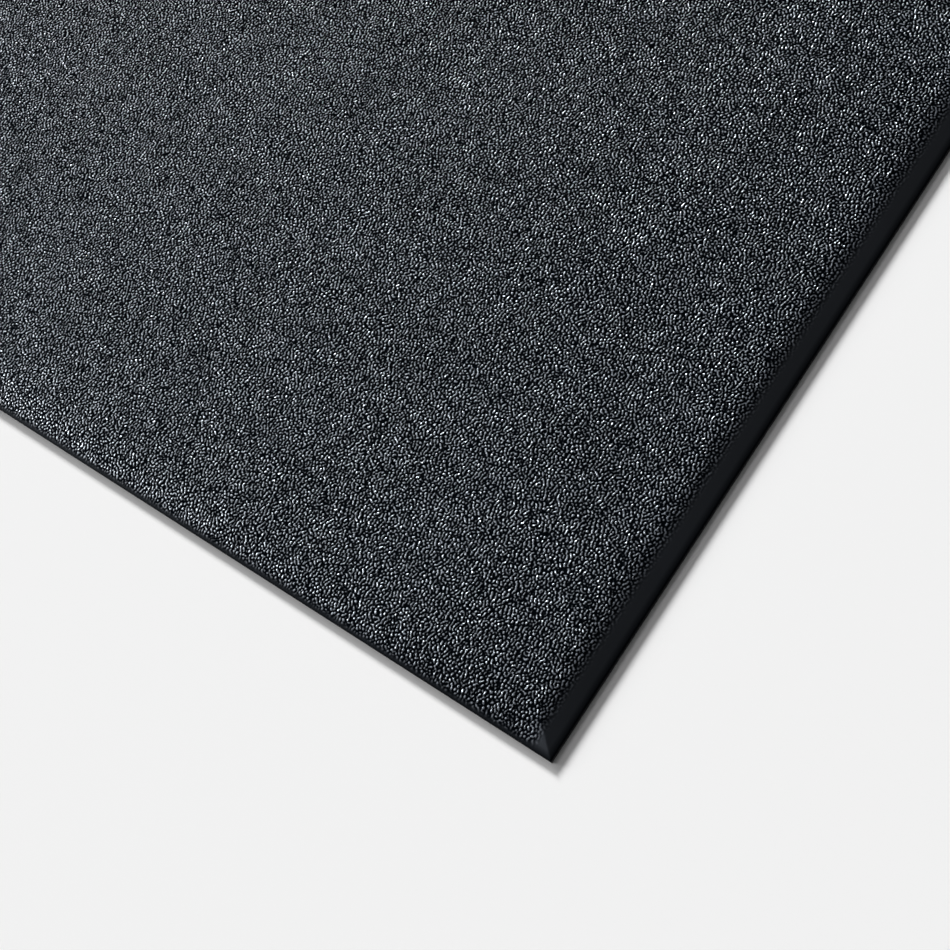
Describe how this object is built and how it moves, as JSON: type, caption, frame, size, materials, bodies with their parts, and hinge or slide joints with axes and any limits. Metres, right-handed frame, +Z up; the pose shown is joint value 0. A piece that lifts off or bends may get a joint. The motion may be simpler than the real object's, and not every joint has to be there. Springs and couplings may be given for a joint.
{
  "type": "anti fatigue mat",
  "caption": "Thin rectangular cushioned standing mat with a pebble-embossed wear skin, a closed-cell foam core, a non-slip underside and bevelled sides.",
  "frame": {"origin": "middle of the underside, on the floor", "axes": "+X along the long side, +Y along the short side, +Z up from the floor through the thickness"},
  "size_m": [0.9, 0.6, 0.0095],
  "materials": {
    "grip_skin": "dull black with a fine matt grain, slightly tacky",
    "closed_cell_foam": "matt black closed-cell foam with fine round cells on the cut face",
    "embossed_vinyl": "charcoal black, embossed with small rounded pebbles and short winding ridges, satin sheen on their crowns"
  },
  "bodies": {
    "root": {"base_skin": "grip_skin", "foam_core": "closed_cell_foam", "wear_layer": "embossed_vinyl"}
  },
  "joints": []
}
